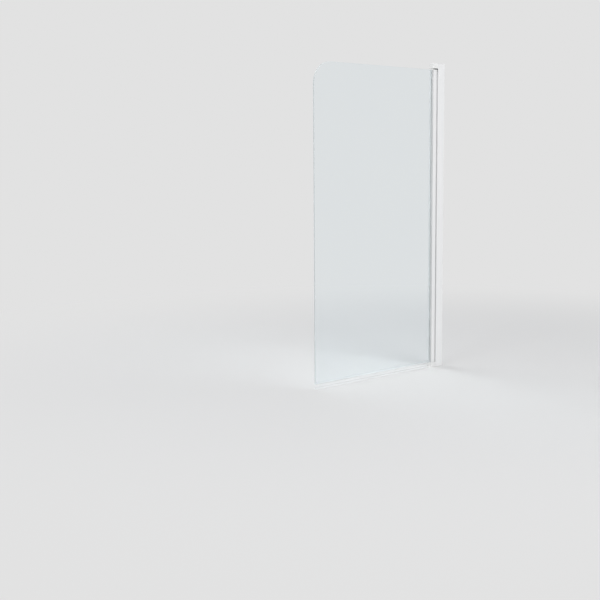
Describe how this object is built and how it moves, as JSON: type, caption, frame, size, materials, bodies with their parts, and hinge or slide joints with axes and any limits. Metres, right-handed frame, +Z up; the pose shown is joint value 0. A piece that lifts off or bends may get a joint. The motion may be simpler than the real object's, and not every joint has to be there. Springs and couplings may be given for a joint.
{
  "type": "bath screen",
  "caption": "Hinged bath screen: a clear glass pane with a rounded top corner on a white wall post, swinging in and out over the bath rim on pivots, with a clear wiper seal below.",
  "frame": {"origin": "on the wall face of the post, at the level of the bath rim, in the middle of the post's thickness", "axes": "+X into the wall that the post is screwed to, so the pane runs towards -X; +Y over the bath, away from the room; +Z up"},
  "size_m": [0.8, 0.0315, 1.43],
  "materials": {
    "white_aluminium": "smooth white powder coat, semi-gloss",
    "white_plastic": "white moulded plastic, semi-gloss",
    "clear_glass": "clear toughened glass with ground and polished edges",
    "grey_rubber": "matt light grey rubber",
    "pale_rubber": "pale elastomer, satin",
    "clear_vinyl": "clear flexible vinyl",
    "cast_zinc": "die-cast zinc, as cast",
    "stainless_steel": "plain stainless steel",
    "bearing_plastic": "natural acetal"
  },
  "bodies": {
    "wall_side": {"wall_channel": "white_aluminium", "channel_cap": "white_plastic", "hinge_post": "white_aluminium", "post_seal": "pale_rubber", "top_bracket": "cast_zinc", "bottom_bracket": "cast_zinc", "top_hinge_block": "white_plastic", "bottom_hinge_block": "white_plastic", "top_pivot_pin": "stainless_steel", "bottom_pivot_pin": "stainless_steel", "block_screws": "stainless_steel", "adjust_screws": "stainless_steel", "screw_caps": "white_plastic", "thrust_washer": "bearing_plastic"},
    "leaf": {"swing_profile": "white_aluminium", "top_end_plug": "white_plastic", "bottom_end_plug": "white_plastic", "top_pivot_bush": "bearing_plastic", "bottom_pivot_bush": "bearing_plastic", "glass_panel": "clear_glass", "front_gasket": "grey_rubber", "back_gasket": "pale_rubber", "glass_pads": "bearing_plastic", "bottom_seal": "clear_vinyl"}
  },
  "joints": [
    {"name": "leaf_swing", "type": "hinge", "parent": "wall_side", "child": "leaf", "pos_m": [-0.0608, 0, 0.715], "axis": [0, 0, 1], "range_deg": [-90, 90]}
  ]
}
